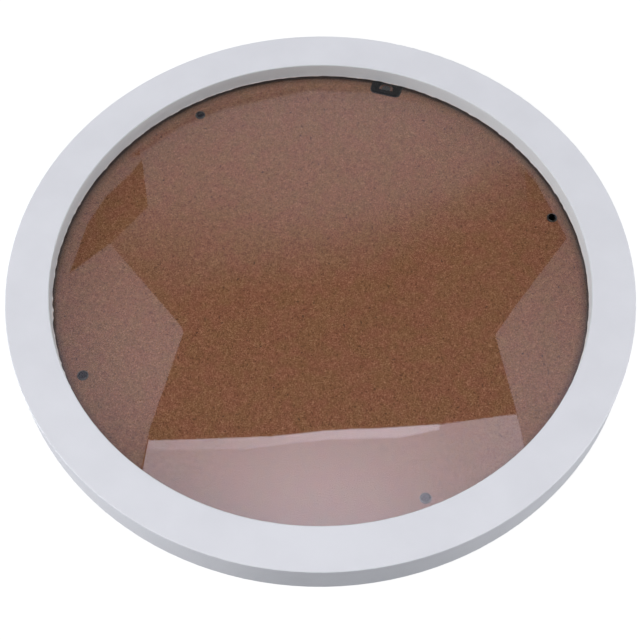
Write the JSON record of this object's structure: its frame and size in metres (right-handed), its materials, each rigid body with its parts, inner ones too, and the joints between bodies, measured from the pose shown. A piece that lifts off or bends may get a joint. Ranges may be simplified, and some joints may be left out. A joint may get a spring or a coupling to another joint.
{
  "type": "round photo frame",
  "caption": "Round photo frame: a painted ring with a lip and rabbet holds a glass and a hardboard back, locked by swivelling turn buttons and hung on a nail by a folded keyhole hanger.",
  "frame": {"origin": "on the ring's axis, in the plane of its back face, which rests on the wall or table", "axes": "+Z along the ring's axis, out of the face towards the viewer; +Y from the centre to the hanger, up when hung"},
  "size_m": [0.284, 0.284, 0.018],
  "materials": {
    "painted_fibreboard": "off-white satin paint on fibreboard",
    "float_glass": "clear, polished",
    "hardboard": "pressed brown fibre, matt",
    "plated_eyelet": "dull plated steel",
    "zinc_plated_steel": "bright zinc plate, satin",
    "black_steel": "black lacquer, semi-gloss"
  },
  "bodies": {
    "frame": {"frame_ring": "painted_fibreboard", "glazing_sheet": "float_glass", "backing_board": "hardboard", "hanger_clip": "black_steel", "eyelet_upper_right": "plated_eyelet", "eyelet_upper_left": "plated_eyelet", "eyelet_lower_left": "plated_eyelet", "eyelet_lower_right": "plated_eyelet"},
    "turn_button_upper_right": {"turn_button_upper_right": "zinc_plated_steel"},
    "turn_button_upper_left": {"turn_button_upper_left": "zinc_plated_steel"},
    "turn_button_lower_left": {"turn_button_lower_left": "zinc_plated_steel"},
    "turn_button_lower_right": {"turn_button_lower_right": "zinc_plated_steel"}
  },
  "joints": [
    {"name": "swivel_upper_right", "type": "hinge", "parent": "frame", "child": "turn_button_upper_right", "pos_m": [0.09559, 0.06447, 0.00395], "axis": [0, 0, 1], "continuous": true},
    {"name": "swivel_upper_left", "type": "hinge", "parent": "frame", "child": "turn_button_upper_left", "pos_m": [-0.08501, 0.0779, 0.00395], "axis": [0, 0, 1], "continuous": true},
    {"name": "swivel_lower_left", "type": "hinge", "parent": "frame", "child": "turn_button_lower_left", "pos_m": [-0.08702, -0.07564, 0.00395], "axis": [0, 0, 1], "continuous": true},
    {"name": "swivel_lower_right", "type": "hinge", "parent": "frame", "child": "turn_button_lower_right", "pos_m": [0.07178, -0.09023, 0.00395], "axis": [0, 0, 1], "continuous": true}
  ]
}
